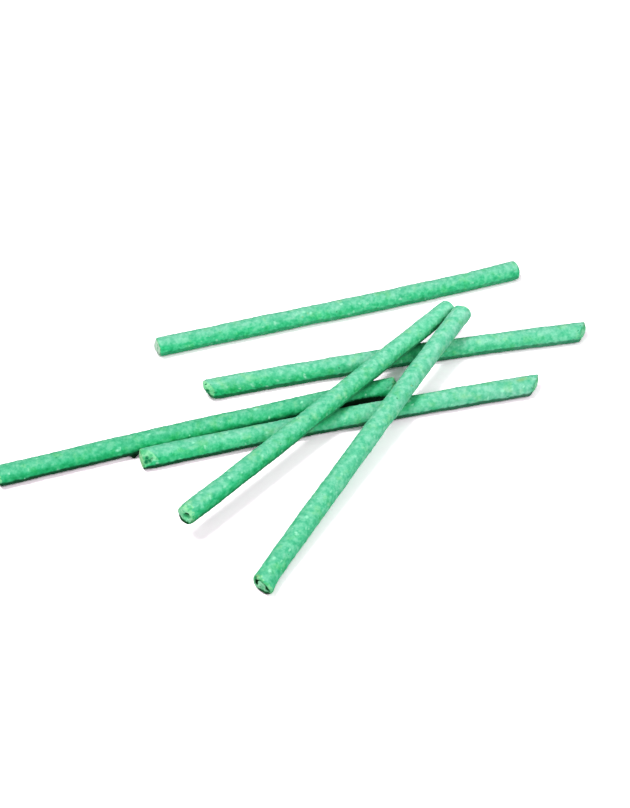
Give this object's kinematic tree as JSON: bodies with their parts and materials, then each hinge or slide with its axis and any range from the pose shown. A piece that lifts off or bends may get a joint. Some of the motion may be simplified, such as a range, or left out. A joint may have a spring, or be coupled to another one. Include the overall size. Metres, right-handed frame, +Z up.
{
  "type": "rolled stick pile",
  "caption": "Loose crossed pile of straight round sticks, each rolled from a speckled green strip around an open core and cut blunt at both ends.",
  "frame": {"origin": "middle of the pile's footprint, on the table that the sticks lie on", "axes": "+X to the right of the picture, the way the lying sticks point most nearly, +Y away from the viewer, +Z up"},
  "size_m": [0.1864, 0.1493, 0.0161],
  "materials": {
    "speckled_green": "matte"
  },
  "bodies": {
    "front": {"front_stick": "speckled_green"},
    "back": {"back_stick": "speckled_green"},
    "right": {"right_stick": "speckled_green"},
    "left": {"left_stick": "speckled_green"},
    "top": {"top_stick": "speckled_green"},
    "leaning": {"leaning_stick": "speckled_green"}
  },
  "joints": [
    {"name": "back_lift", "type": "slide", "parent": "front", "child": "back", "axis": [0, 0, 1], "range_m": [0, 0.03]},
    {"name": "top_lift", "type": "slide", "parent": "front", "child": "top", "axis": [0, 0, 1], "range_m": [0, 0.03]},
    {"name": "leaning_lift", "type": "slide", "parent": "front", "child": "leaning", "axis": [0, 0, 1], "range_m": [0, 0.03]},
    {"name": "right_pull", "type": "slide", "parent": "front", "child": "right", "axis": [0.9736, 0.2284, 0], "range_m": [0, 0.1]},
    {"name": "left_pull", "type": "slide", "parent": "front", "child": "left", "axis": [-0.9483, -0.3173, 0], "range_m": [0, 0.05]}
  ]
}
